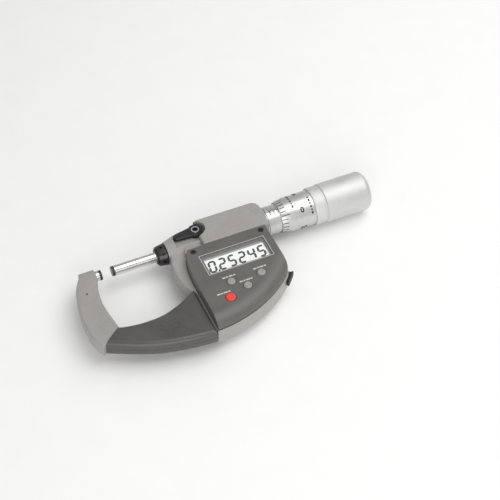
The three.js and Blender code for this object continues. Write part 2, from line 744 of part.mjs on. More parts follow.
/** Flat flexible cable from the encoder to the circuit board. */
function makeFlexCable() {
  const shape = new THREE.Shape();
  shape.moveTo(-7.9, -3.7);
  shape.lineTo(-16.2, -3.7);
  shape.lineTo(-16.2, 2.3);
  shape.lineTo(-19.5, 2.3);
  shape.lineTo(-19.5, 2);
  shape.lineTo(-16.6, 2);
  shape.lineTo(-16.6, -4);
  shape.lineTo(-7.9, -4);
  shape.closePath();
  const geometry = new THREE.ExtrudeGeometry(shape, { depth: 4, bevelEnabled: false });
  geometry.rotateX(Math.PI / 2);
  geometry.rotateZ(Math.PI / 2);
  geometry.translate(84.5, 0, 0);
  return part('encoder_flex_cable', solid(geometry), 0xb5762c, 0.5, 0.1);
}

// Sleeve, thimble and ratchet.

function makeSleeve() {
  const profile = [[96.3, 6.9], [96.3, 8.4], [BARREL_X + 0.2, 8.4], [BARREL_X + 0.2, SLEEVE_R]];
  profile.push([SLEEVE_END, SLEEVE_R], [SLEEVE_END, 6.9], [96.3, 6.9]);
  return part('sleeve', turnedX(profile, 48), 0xcfcfcb, 0.35, 0.7);
}

function makeThreadedSleeve() {
  const profile = [[98, 4], [98, 6.6], [131, 6.6], [131, 5.4], [138, 5.2], [138, 4], [98, 4]];
  const slit = box([126, -0.4, -8], [140, 0.4, 8]);
  return part('threaded_sleeve', turnedX(profile).subtract(slit), 0xa8a8a6, 0.4, 0.8);
}

function makeAdjustingNut() {
  const ring = tubeX(131.3, 137, 5.65, 6.6);
  const notch = box([135.5, -0.8, -8], [138, 0.8, 8]);
  return part('adjusting_nut', ring.subtract(notch), 0x9a9a9a, 0.4, 0.8);
}

function makeThimble() {
  const bore = SLEEVE_R + 0.25;
  const profile = [[THIMBLE_X, bore], [THIMBLE_X, 9.75], [121.5, THIMBLE_R], [THIMBLE_STEP, THIMBLE_R]];
  profile.push([THIMBLE_STEP, 9.9], [160, 9.9], [160, 8.2], [153, 8.2], [153, 3.25], [145, 3.25]);
  profile.push([145, bore], [THIMBLE_X, bore]);
  return part('thimble', turnedX(profile, 56), 0xcacac6, 0.35, 0.7);
}

function makeThimbleNut() {
  const nut = rodX(153.3, 156.2, 5.4, 6).subtract(rodX(153, 157, 2.3, 24));
  return part('thimble_nut', nut, 0xa8a8a6, 0.35, 0.8);
}

function makeRatchetSleeve() {
  const end = RATCHET_END;
  const corner = 4;
  const profile = [[RATCHET_X, SKIRT_BORE], [RATCHET_X, SKIRT_BORE + 0.1], [138.4, SKIRT_R]];
  profile.push([143.9, SKIRT_R], [144.2, 11.7], [145, 11.7], [145.3, RATCHET_R - 0.2], [145.6, RATCHET_R]);
  const steps = 5;
  for (let i = 0; i <= steps; i += 1) {
    const t = (i / steps) * (Math.PI / 2);
    profile.push([end - corner + corner * Math.sin(t), RATCHET_R - corner + corner * Math.cos(t)]);
  }
  profile.push([end, 4.6], [167, 4.6], [167, 2.4], [164.5, 2.4], [164.5, RATCHET_BORE]);
  profile.push([THIMBLE_STEP + 0.4, RATCHET_BORE], [THIMBLE_STEP + 0.4, SKIRT_BORE], [RATCHET_X, SKIRT_BORE]);
  return part('ratchet_sleeve', turnedX(profile, 56), 0xd7d7d5, 0.45, 0.6);
}

function makeRatchetScrew() {
  const shank = rodX(153.4, 167.5, 2, 24);
  const head = rodX(167.3, 170.2, 4.1, 28);
  const slot = box([169.4, -5, -0.5], [171, 5, 0.5]);
  return part('ratchet_screw', shank.add(head).subtract(slot), 0xb0b0ae, 0.3, 0.8);
}

function makeRatchetDisc() {
  let body = tubeX(157, 158.6, 3, 7.8, 36);
  const teeth = 12;
  for (let i = 0; i < teeth; i += 1) {
    const notch = box([158, -0.5, 5.4], [159, 0.5, 9]).rotate([(i * 360) / teeth, 0, 0]);
    body = body.subtract(notch);
  }
  return part('ratchet_disc', body, 0x8f8f8d, 0.4, 0.8);
}

/** Coil spring that presses the ratchet disc. */
class Helix extends THREE.Curve {
  constructor(x0, x1, r, turns) {
    super();
    this.x0 = x0;
    this.x1 = x1;
    this.r = r;
    this.turns = turns;
  }

  getPoint(t, target = new THREE.Vector3()) {
    const angle = t * this.turns * 2 * Math.PI;
    const x = this.x0 + (this.x1 - this.x0) * t;
    return target.set(x, this.r * Math.cos(angle), this.r * Math.sin(angle));
  }
}

function makeRatchetSpring() {
  const wire = new THREE.Shape();
  wire.absarc(0, 0, 0.45, 0, 2 * Math.PI, false);
  const path = new Helix(159.3, 163.8, 3.2, 3.5);
  const geometry = new THREE.ExtrudeGeometry(wire, {
    steps: 56, extrudePath: path, bevelEnabled: false, curveSegments: 3,
  });
  return part('ratchet_spring', solid(geometry), 0xa0a0a0, 0.35, 0.8);
}

// Assembly.

const micrometer = new THREE.Group();
micrometer.name = 'outside_micrometer';

const fixedGroup = new THREE.Group();
fixedGroup.add(makeFrame(), makeAnvil(), makeAnvilTip(), makeFrontCollar(), makeSpindleSeal());
fixedGroup.add(makeGuideBush(), makeLockShoe(), ...makeGrips());
fixedGroup.add(makeFrontCover(), makeDisplayWindow(), makeDisplayPanel(), makeDisplayHolder());
fixedGroup.add(makeCircuitBoard(), makeKeypad(), ...makeCoverScrews(), makeGasket());
fixedGroup.add(makeBattery(), makeDataConnector(), makeFlexCable());
fixedGroup.add(makeSleeve(), makeThreadedSleeve(), makeAdjustingNut());

const lockGroup = new THREE.Group();
lockGroup.add(makeLockLever(), makeLockScrew());

const batteryGroup = new THREE.Group();
batteryGroup.add(makeBatteryCap(), makeBatterySeal());

const encoder = makeEncoder();
fixedGroup.add(...encoder.fixed);

const spindleGroup = new THREE.Group();
spindleGroup.add(makeSpindle(), makeSpindleTip(), makeThimble(), makeThimbleNut());
spindleGroup.add(makeRatchetScrew(), makeRatchetDisc(), makeRatchetSpring());

micrometer.add(fixedGroup, lockGroup, ...makeButtons(), batteryGroup, makePortPlug());
micrometer.add(encoder.rotor, spindleGroup, makeRatchetSleeve());

export default micrometer;
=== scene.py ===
"""Outside micrometer with a digital display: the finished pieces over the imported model."""
import logging
import math
from dataclasses import dataclass, field, replace
from enum import Enum

import bmesh
import bpy
from mathutils import Matrix, Vector


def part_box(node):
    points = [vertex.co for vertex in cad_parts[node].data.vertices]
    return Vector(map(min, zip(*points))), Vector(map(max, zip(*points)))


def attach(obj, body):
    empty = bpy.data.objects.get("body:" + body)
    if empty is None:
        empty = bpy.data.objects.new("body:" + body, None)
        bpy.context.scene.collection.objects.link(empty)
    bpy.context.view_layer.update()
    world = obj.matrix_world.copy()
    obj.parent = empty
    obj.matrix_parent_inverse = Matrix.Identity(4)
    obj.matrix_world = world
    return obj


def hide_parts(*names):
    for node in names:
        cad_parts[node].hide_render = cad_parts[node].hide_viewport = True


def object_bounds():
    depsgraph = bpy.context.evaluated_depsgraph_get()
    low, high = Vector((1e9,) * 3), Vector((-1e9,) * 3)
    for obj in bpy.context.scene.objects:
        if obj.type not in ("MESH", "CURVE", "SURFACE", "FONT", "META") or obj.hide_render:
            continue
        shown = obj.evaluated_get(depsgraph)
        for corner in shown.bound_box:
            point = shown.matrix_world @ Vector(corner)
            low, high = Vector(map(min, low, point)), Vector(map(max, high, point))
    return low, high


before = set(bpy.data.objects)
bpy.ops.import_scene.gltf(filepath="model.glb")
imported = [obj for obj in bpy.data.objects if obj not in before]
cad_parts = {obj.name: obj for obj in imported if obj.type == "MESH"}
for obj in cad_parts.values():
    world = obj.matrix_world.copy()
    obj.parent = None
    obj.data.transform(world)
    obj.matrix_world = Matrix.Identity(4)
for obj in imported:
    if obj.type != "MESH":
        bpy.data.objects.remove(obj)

CAD_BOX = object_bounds()
MM = 0.001
LOG = logging.getLogger("micrometer")
NOISE_RANGE = (0.3, 0.7)  # the part of a noise texture's output that carries its contrast
FINE_SHARE = 0.4  # how much of a finish's mottling follows its fine texture
# Mottle scale of the lightened edge finish, which is partly wear and partly painted highlight.
WORN_AND_HIGHLIT_SCALE = 260.0
WORN_POLISH = 0.08
SMOOTHEST = 0.12
GLOSSIEST = 0.03

Colour = tuple[float, float, float]
Profile = list[tuple[float, float]]


class Texture(Enum):
    """Small-scale surface that a finish carries."""

    GRAIN = "grain"
    PEBBLE = "pebble"
    TURNED = "turned"
    BRUSHED = "brushed"
    BLASTED = "blasted"


class Axis(Enum):
    """Axis that a round piece is spun about."""

    X = (1.0, 0.0, 0.0)
    Z = (0.0, 0.0, 1.0)


def linear(colour: Colour) -> tuple[float, float, float, float]:
    """Turns a screen colour of 0 to 255 a channel into a linear one with full alpha.

    Args:
        colour: red, green and blue from 0 to 255.

    Returns:
        The four numbers that a colour socket takes.
    """
    parts = [c / 255 for c in colour]
    out = [p / 12.92 if p <= 0.04045 else ((p + 0.055) / 1.055) ** 2.4 for p in parts]
    return (out[0], out[1], out[2], 1.0)


@dataclass
class Sheet:
    """Adds nodes and links to one node tree."""

    tree: bpy.types.NodeTree

    def add(self, kind: str, settings: dict | None = None, values: dict | None = None) -> bpy.types.Node:
        """Adds a node.

        Args:
            kind: Blender's name for the node type.
            settings: node properties to set.
            values: input socket names or numbers, and their default values.

        Returns:
            The new node.
        """
        node = self.tree.nodes.new(kind)
        for key, value in (settings or {}).items():
            setattr(node, key, value)
        for key, value in (values or {}).items():
            node.inputs[key].default_value = value
        return node

    def wire(self, source: bpy.types.NodeSocket, target: bpy.types.NodeSocket) -> None:
        """Links one socket to another."""
        self.tree.links.new(source, target)


class SurfaceGroups:
    """The shared node groups, each made once on first use."""

    made: dict[Texture, bpy.types.NodeTree] = {}

    @classmethod
    def get(cls, texture: Texture) -> bpy.types.NodeTree:
        """Gives the node group for a texture, made on first use.

        Args:
            texture: which small-scale surface is wanted.

        Returns:
            The shared node group.
        """
        if texture not in cls.made:
            cls.made[texture] = cls.build(texture)
        return cls.made[texture]

    @classmethod
    def build(cls, texture: Texture) -> bpy.types.NodeTree:
        """Makes one group with Broad and Fine scales in, and Tone, Gloss and Height out.

        Args:
            texture: which small-scale surface to make.

        Returns:
            The finished node group.
        """
        tree = bpy.data.node_groups.new("surface_" + texture.value, "ShaderNodeTree")
        for name in ("Broad", "Fine"):
            tree.interface.new_socket(name=name, in_out="INPUT", socket_type="NodeSocketFloat")
        for name in ("Tone", "Gloss", "Height"):
            tree.interface.new_socket(name=name, in_out="OUTPUT", socket_type="NodeSocketFloat")
        sheet = Sheet(tree)
        entry = sheet.add("NodeGroupInput")
        leave = sheet.add("NodeGroupOutput")
        place = sheet.add("ShaderNodeTexCoord")
        broad = sheet.add("ShaderNodeTexNoise", values={"Detail": 4.0, "Roughness": 0.6})
        sheet.wire(place.outputs["Object"], broad.inputs["Vector"])
        sheet.wire(entry.outputs["Broad"], broad.inputs["Scale"])
        stretch = {
            Texture.TURNED: (1.0, 0.03, 0.03),
            Texture.BRUSHED: (0.04, 1.0, 1.0),
        }.get(texture, (1.0, 1.0, 1.0))
        mapping = sheet.add("ShaderNodeMapping", values={"Scale": stretch})
        sheet.wire(place.outputs["Object"], mapping.inputs["Vector"])
        if texture is Texture.PEBBLE:
            fine = sheet.add("ShaderNodeTexVoronoi", {"feature": "SMOOTH_F1"}, {"Smoothness": 0.6})
            height = fine.outputs["Distance"]
        else:
            fine = sheet.add("ShaderNodeTexNoise", values={"Detail": 3.0, "Roughness": 0.55})
            height = fine.outputs["Fac"]
        sheet.wire(mapping.outputs["Vector"], fine.inputs["Vector"])
        sheet.wire(entry.outputs["Fine"], fine.inputs["Scale"])
        blend = sheet.add("ShaderNodeMix", {"data_type": "FLOAT"}, {0: FINE_SHARE})
        sheet.wire(broad.outputs["Fac"], blend.inputs[2])
        sheet.wire(height, blend.inputs[3])
        sheet.wire(blend.outputs[0], leave.inputs["Tone"])
        sheet.wire(broad.outputs["Fac"], leave.inputs["Gloss"])
        sheet.wire(height, leave.inputs["Height"])
        return tree


@dataclass(frozen=True)
class Finish:
    """One surface finish: two tones that mottle into each other, gloss and fine relief; an optional
    emission that is painted light, and an edge share that lightens bevelled edges as wear plus a painted
    highlight.
    """

    name: str
    slot: str
    light: Colour
    dark: Colour
    roughness: float
    metallic: float = 0.0
    texture: Texture = Texture.GRAIN
    broad: float = 60.0
    fine: float = 2500.0
    relief: float = 0.00002
    spread: float = 0.1
    coat: float = 0.0
    specular: float = 0.5
    alpha: float = 1.0
    painted_glow: float = 0.0
    edge_wear_and_highlight: float = 0.0

    def worn(self) -> "Finish":
        """Gives the edge finish: the wear that handling leaves on this one's edges, and a painted
        highlight there.

        Returns:
            A finish whose lighter tone is lightened towards white by the edge share, partly wear and
            partly painted highlight.
        """
        rubbed_and_highlit = tuple(c + (255 - c) * self.edge_wear_and_highlight for c in self.light)
        return replace(
            self, name=self.name + "_worn", light=rubbed_and_highlit, dark=self.light,
            broad=WORN_AND_HIGHLIT_SCALE, roughness=max(self.roughness - WORN_POLISH, SMOOTHEST), edge_wear_and_highlight=0.0,
        )

    def material(self) -> bpy.types.Material:
        """Gives the finish's material, made on first use.

        Returns:
            The shared material.
        """
        found = bpy.data.materials.get("fin_" + self.name)
        if found is not None:
            return found
        made = bpy.data.materials.new("fin_" + self.name)
        made.use_nodes = True
        sheet = Sheet(made.node_tree)
        shader = made.node_tree.nodes["Principled BSDF"]
        shader.inputs["Metallic"].default_value = self.metallic
        shader.inputs["Coat Weight"].default_value = self.coat
        shader.inputs["Alpha"].default_value = self.alpha
        shader.inputs["Specular IOR Level"].default_value = self.specular
        # Emission here is painted light: it makes a part glow though it is no lamp.
        if self.painted_glow:
            shader.inputs["Emission Color"].default_value = linear(self.light)
            shader.inputs["Emission Strength"].default_value = self.painted_glow
        surface = sheet.add("ShaderNodeGroup", {"node_tree": SurfaceGroups.get(self.texture)})
        surface.inputs["Broad"].default_value = self.broad
        surface.inputs["Fine"].default_value = self.fine
        noise = {"From Min": NOISE_RANGE[0], "From Max": NOISE_RANGE[1]}
        spread = sheet.add("ShaderNodeMapRange", values=noise)
        sheet.wire(surface.outputs["Tone"], spread.inputs["Value"])
        tone = sheet.add("ShaderNodeMix", {"data_type": "RGBA"})
        tone.inputs[6].default_value = linear(self.dark)
        tone.inputs[7].default_value = linear(self.light)
        sheet.wire(spread.outputs["Result"], tone.inputs[0])
        sheet.wire(tone.outputs[2], shader.inputs["Base Color"])
        smooth, rough = self.roughness - self.spread, self.roughness + self.spread
        limits = {"To Min": max(smooth, GLOSSIEST), "To Max": rough}
        gloss = sheet.add("ShaderNodeMapRange", values={**noise, **limits})
        sheet.wire(surface.outputs["Gloss"], gloss.inputs["Value"])
        sheet.wire(gloss.outputs["Result"], shader.inputs["Roughness"])
        bump = sheet.add("ShaderNodeBump", values={"Strength": 0.6, "Distance": self.relief})
        sheet.wire(surface.outputs["Height"], bump.inputs["Height"])
        sheet.wire(bump.outputs["Normal"], shader.inputs["Normal"])
        return made


# The edge share of a finish lightens its bevelled edges: partly handling wear, partly a painted
# highlight.
FRAME_PAINT = Finish("frame_paint", "frame_paint", (165, 162, 158), (152, 149, 145), 0.42,
                     texture=Texture.PEBBLE, fine=1500.0, relief=0.00003, coat=0.1, edge_wear_and_highlight=0.22)
COVER_PLASTIC = Finish("cover_plastic", "cover_plastic", (104, 101, 98), (90, 88, 85), 0.4,
                       texture=Texture.PEBBLE, fine=2400.0, relief=0.00003, edge_wear_and_highlight=0.2)
GRIP_PLASTIC = Finish("grip_plastic", "grip_plastic", (86, 84, 82), (70, 69, 67), 0.32,
                      texture=Texture.PEBBLE, fine=2200.0, relief=0.00003, coat=0.1, edge_wear_and_highlight=0.25)
SATIN_CHROME = Finish("satin_chrome", "satin_chrome", (216, 216, 213), (196, 196, 194), 0.34,
                      0.75, Texture.TURNED, fine=2600.0, relief=0.00001, spread=0.06)
RATCHET_METAL = Finish("ratchet_metal", "ratchet_metal", (218, 218, 216), (198, 198, 196), 0.52,
                       0.6, Texture.BLASTED, fine=2200.0, relief=0.00004, spread=0.08)
GROUND_STEEL = Finish("ground_steel", "ground_steel", (230, 229, 226), (206, 205, 202), 0.2,
                      0.95, Texture.TURNED, fine=4000.0, relief=0.000006, spread=0.06)
PLAIN_STEEL = Finish("plain_steel", "plain_steel", (176, 174, 170), (150, 148, 145), 0.34,
                     0.85, Texture.TURNED, fine=2600.0, relief=0.00001)
CARBIDE = Finish("carbide", "carbide", (78, 78, 80), (60, 60, 62), 0.3, 0.7, Texture.BRUSHED,
                 fine=3500.0, relief=0.000004)
BLACK_LEVER = Finish("black_lever", "black_lever", (34, 34, 35), (24, 24, 25), 0.34,
                     texture=Texture.PEBBLE, fine=2600.0, coat=0.15, edge_wear_and_highlight=0.15)
BRASS = Finish("brass", "brass", (196, 160, 92), (168, 134, 72), 0.32, 0.9, Texture.TURNED)
RUBBER = Finish("black_rubber", "black_rubber", (32, 31, 31), (22, 22, 22), 0.55,
                texture=Texture.PEBBLE, fine=2000.0)
BUTTON_GREY = Finish("button_grey", "button_grey", (158, 157, 153), (144, 143, 140), 0.5,
                     texture=Texture.PEBBLE, fine=3200.0)
BUTTON_RED = Finish("button_red", "button_red", (236, 74, 60), (222, 60, 47), 0.42,
                    texture=Texture.PEBBLE, fine=3200.0)
WINDOW = Finish("window", "window", (225, 230, 232), (215, 220, 222), 0.12, relief=0.000001,
                spread=0.02, alpha=0.08)
# The display's emission is painted light: it stands in for lamp light falling on the reflective display
# in its recess.
DISPLAY = Finish("display", "display", (240, 240, 236), (232, 232, 228), 0.55, relief=0.000002,
                 painted_glow=0.25)
DISPLAY_BAND = Finish("display_band", "display", (160, 161, 158), (146, 147, 144), 0.5)
BOARD = Finish("board", "board", (44, 98, 62), (32, 80, 48), 0.45, fine=900.0)
DARK_PLASTIC = Finish("dark_plastic", "dark_plastic", (58, 57, 56), (46, 45, 44), 0.5,
                      texture=Texture.PEBBLE, fine=1800.0)
FLEX = Finish("flex", "flex", (190, 122, 48), (168, 102, 36), 0.4, texture=Texture.BRUSHED)
CELL = Finish("cell", "cell", (206, 206, 204), (186, 186, 184), 0.25, 0.9, Texture.BRUSHED)
BLACK_INK = Finish("black_ink", "satin_chrome", (20, 20, 21), (12, 12, 13), 0.7, specular=0.1)
BLACK_STEEL = Finish("black_steel", "plain_steel", (84, 82, 80), (60, 59, 58), 0.3, 0.8,
                     Texture.TURNED, fine=2600.0, relief=0.00001)
WHITE_INK = Finish("white_ink", "cover_plastic", (206, 206, 202), (186, 186, 182), 0.55)
SEGMENT_INK = Finish("segment_ink", "display", (14, 14, 15), (8, 8, 9), 0.7, specular=0.05)

FINISH_OF_SLOT = {
    f.slot: f
    for f in (FRAME_PAINT, COVER_PLASTIC, GRIP_PLASTIC, SATIN_CHROME, RATCHET_METAL, GROUND_STEEL,
              PLAIN_STEEL, CARBIDE, BLACK_LEVER, BRASS, RUBBER, BUTTON_GREY, BUTTON_RED, WINDOW,
              DISPLAY, BOARD, DARK_PLASTIC, FLEX, CELL)
}


@dataclass
class Workshop:
    """Turns bmeshes into finished pieces that ride on a body."""

    sharp_angle: float = math.radians(36)
    flat_angle: float = math.radians(1.0)
    copy_weld: float = 0.002
    spin_weld: float = 0.0005
    pieces: list[str] = field(default_factory=list)

    def copy_of(self, node: str) -> bmesh.types.BMesh:
        """Copies a CAD node's triangles and joins them into whole faces.

        Args:
            node: the CAD node's name.

        Returns:
            The merged copy.
        """
        bm = bmesh.new()
        bm.from_mesh(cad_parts[node].data)
        bmesh.ops.remove_doubles(bm, verts=bm.verts, dist=self.copy_weld * MM)
        bmesh.ops.dissolve_degenerate(bm, edges=bm.edges, dist=self.copy_weld * MM)
        bmesh.ops.dissolve_limit(bm, angle_limit=self.flat_angle, verts=bm.verts, edges=bm.edges)
        return bm

    def spin(self, profile: Profile, axis: Axis, steps: int = 128) -> bmesh.types.BMesh:
        """Spins a closed profile into a round body.

        Args:
            profile: places along the axis and radii, in millimetres, as a closed loop.
            axis: the axis it is spun about.
            steps: faces round the body.

        Returns:
            The closed body.
        """
        bm = bmesh.new()
        spots = [(a, 0.0, r) if axis is Axis.X else (r, 0.0, a) for a, r in profile]
        verts = [bm.verts.new(Vector(s) * MM) for s in spots]
        edges = [bm.edges.new((v, verts[(i + 1) % len(verts)])) for i, v in enumerate(verts)]
        bmesh.ops.spin(
            bm, geom=verts + edges, cent=(0, 0, 0), axis=axis.value, angle=math.tau,
            steps=steps, use_merge=True,
        )
        bmesh.ops.remove_doubles(bm, verts=bm.verts, dist=self.spin_weld * MM)
        bmesh.ops.dissolve_degenerate(bm, edges=bm.edges, dist=self.spin_weld * MM)
        bare = [e for e in bm.edges if not e.link_faces]
        bmesh.ops.delete(bm, geom=bare, context="EDGES")
        bmesh.ops.recalc_face_normals(bm, faces=bm.faces)
        return bm

    def publish(
        self, bm: bmesh.types.BMesh, name: str, body: str, finish: Finish,
        stands_for: tuple[str, ...] = (), edge: float = 0.0,
    ) -> bpy.types.Object:
        """Makes a piece out of a bmesh, dresses it and puts it on its body.

        Args:
            bm: the shape, which is freed.
            name: the piece's name.
            body: the CAD body it rides on.
            finish: its surface.
            stands_for: CAD nodes that it replaces.
            edge: width in millimetres of a rounded edge, or 0.

        Returns:
            The piece.

        Raises:
            ValueError: if the shape has no faces.
        """
        if not bm.faces:
            raise ValueError(f"{name} has no faces")
        for face in bm.faces:
            face.smooth = True
        for one in bm.edges:
            one.smooth = one.calc_face_angle(0.0) < self.sharp_angle
        mesh = bpy.data.meshes.new(name)
        bm.to_mesh(mesh)
        bm.free()
        piece = bpy.data.objects.new(name, mesh)
        bpy.context.scene.collection.objects.link(piece)
        mesh.materials.append(finish.material())
        if edge:
            rounded = piece.modifiers.new("edge", "BEVEL")
            rounded.width = edge * MM
            rounded.segments = 2
            rounded.limit_method = "ANGLE"
            rounded.angle_limit = self.sharp_angle
            rounded.use_clamp_overlap = True
            # Bevelled edges get the lightened edge finish: partly handling wear, partly a painted
            # highlight.
            if finish.edge_wear_and_highlight:
                mesh.materials.append(finish.worn().material())
                rounded.material = 1
            weighted = piece.modifiers.new("normals", "WEIGHTED_NORMAL")
            weighted.keep_sharp = True
        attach(piece, body)
        if stands_for:
            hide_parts(*stands_for)
        self.pieces.append(name)
        LOG.info("piece %s on %s, %d faces", name, body, len(mesh.polygons))
        return piece

    def refine(self, node: str, body: str, finish: Finish, edge: float = 0.0) -> bpy.types.Object:
        """Publishes a refined copy of a CAD node under a name of its own."""
        return self.publish(self.copy_of(node), node + "_piece", body, finish, (node,), edge)

    def dress(self, node: str, finish: Finish) -> None:
        """Gives a carried-over CAD node its finish.

        Args:
            node: the CAD node's name.
            finish: its surface.
        """
        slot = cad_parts[node].material_slots[0]
        slot.link = "OBJECT"
        slot.material = finish.material()
        LOG.info("node %s keeps its shape, finish %s", node, finish.name)


def span(node: str) -> tuple[Vector, Vector]:
    """Gives the low and high corners of a CAD node's box, in millimetres."""
    low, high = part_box(node)
    return low / MM, high / MM


def top_of(node: str) -> float:
    """Gives the height of a CAD node's top, in millimetres."""
    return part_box(node)[1].z / MM


def pour(source: bmesh.types.BMesh, target: bmesh.types.BMesh) -> None:
    """Adds one shape to another and frees the first.

    Args:
        source: the shape that is added.
        target: the shape it goes into.
    """
    passing = bpy.data.meshes.new("passing")
    source.to_mesh(passing)
    source.free()
    target.from_mesh(passing)
    bpy.data.meshes.remove(passing)


def centre_on(bm: bmesh.types.BMesh, low: Vector, high: Vector) -> None:
    """Moves a shape spun about Z to the middle of a box seen from above.

    Args:
        bm: the shape.
        low: the box's low corner in millimetres.
        high: its high corner in millimetres.
    """
    middle = ((low.x + high.x) / 2 * MM, (low.y + high.y) / 2 * MM, 0)
    bmesh.ops.translate(bm, verts=bm.verts, vec=middle)


@dataclass
class Ink:
    """Thin printed or engraved marks: bars, ticks and figures."""

    film: float = 0.03
    weight: float = 0.035
    cap_share: float = 0.7
    strip: float = 0.3
    strips: int = 8
    weld: float = 0.001
    wrap_weld: float = 0.004

    def bar(self, bm: bmesh.types.BMesh, size: tuple[float, float], place: Matrix) -> None:
        """Adds one flat bar.

        Args:
            bm: the shape it goes into.
            size: length and width in millimetres.
            place: where its middle and its face lie, in millimetres.
        """
        shape = Matrix.Diagonal((size[0], size[1], self.film * 2, 1.0))
        bmesh.ops.create_cube(bm, size=1.0, matrix=Matrix.Scale(MM, 4) @ place @ shape)

    def figure(self, text: str, height: float) -> bmesh.types.BMesh:
        """Makes a generic figure as a thin closed mesh centred on the origin.

        Args:
            text: the digits.
            height: the height of a digit in millimetres.

        Returns:
            The figure in the XY plane, in millimetres.
        """
        curve = bpy.data.curves.new("figure", "FONT")
        curve.body = text
        curve.align_x = "CENTER"
        curve.align_y = "CENTER"
        curve.size = height / self.cap_share
        curve.extrude = self.film
        curve.resolution_u = 3
        curve.offset = height * self.weight
        holder = bpy.data.objects.new("figure", curve)
        bpy.context.scene.collection.objects.link(holder)
        shown = holder.evaluated_get(bpy.context.evaluated_depsgraph_get())
        mesh = bpy.data.meshes.new_from_object(shown)
        bm = bmesh.new()
        bm.from_mesh(mesh)
        bpy.data.objects.remove(holder)
        bpy.data.curves.remove(curve)
        bpy.data.meshes.remove(mesh)
        bmesh.ops.remove_doubles(bm, verts=bm.verts, dist=self.weld)
        return bm

    def wrap(self, target: bmesh.types.BMesh, figure: bmesh.types.BMesh, x: float, angle: float,
             radius: float) -> None:
        """Bends a figure round the X axis and adds it to a shape.

        Args:
            target: the shape it goes into.
            figure: the flat figure in millimetres, which is freed.
            x: place of its middle along the axis, in millimetres.
            angle: angle of its middle from +Y towards +Z, in degrees.
            radius: radius of the surface in millimetres.
        """
        for step in range(-self.strips, self.strips + 1):
            whole = figure.verts[:] + figure.edges[:] + figure.faces[:]
            bmesh.ops.bisect_plane(
                figure, geom=whole, plane_co=(0, step * self.strip, 0), plane_no=(0, 1, 0),
            )
        bmesh.ops.remove_doubles(figure, verts=figure.verts, dist=self.wrap_weld)
        bmesh.ops.dissolve_degenerate(figure, edges=figure.edges, dist=self.wrap_weld)
        for v in figure.verts:
            turn = math.radians(angle) - v.co.y / radius
            out = radius + v.co.z
            v.co = Vector((x + v.co.x, math.cos(turn) * out, math.sin(turn) * out)) * MM
        pour(figure, target)


def round_place(x: float, angle: float, radius: float, tilt: float = 0.0) -> Matrix:
    """Gives the place of a mark on a round surface about the X axis.

    Args:
        x: place along the axis, in millimetres.
        angle: angle from +Y towards +Z, in degrees.
        radius: radius of the surface there, in millimetres.
        tilt: slope of the surface along the axis, in degrees.

    Returns:
        A matrix whose X runs along the axis and whose Z points out of the surface.
    """
    turn = Matrix.Rotation(math.radians(angle - 90), 4, "X")
    lean = Matrix.Rotation(math.radians(-tilt), 4, "Y")
    return Matrix.Translation((x, 0, 0)) @ turn @ Matrix.Translation((0, 0, radius)) @ lean


@dataclass
class CastFrame:
    """The painted frame with its anvil, bush and front collar."""

    shop: Workshop
    body: str = "frame_assembly"
    casting_edge: float = 0.25
    collar_edge: float = 0.08

    def build(self) -> None:
        """Builds the frame and the fixed pieces of its two ends."""
        self.shop.refine("frame", self.body, FRAME_PAINT, self.casting_edge)
        self.shop.refine("anvil", self.body, GROUND_STEEL)
        self.shop.refine("anvil_carbide_tip", self.body, CARBIDE)
        self.shop.refine("front_collar", self.body, BLACK_STEEL, self.collar_edge)
        self.shop.refine("spindle_seal", self.body, RUBBER)


@dataclass
class GripPads:
    """The two moulded pads on the arc of the frame."""

    shop: Workshop
    rim: float = 0.3

    def build(self) -> None:
        """Builds the front and rear pads with rolled edges."""
        for node in ("front_grip_pad", "rear_grip_pad"):
            self.shop.refine(node, "frame_assembly", GRIP_PLASTIC, self.rim)


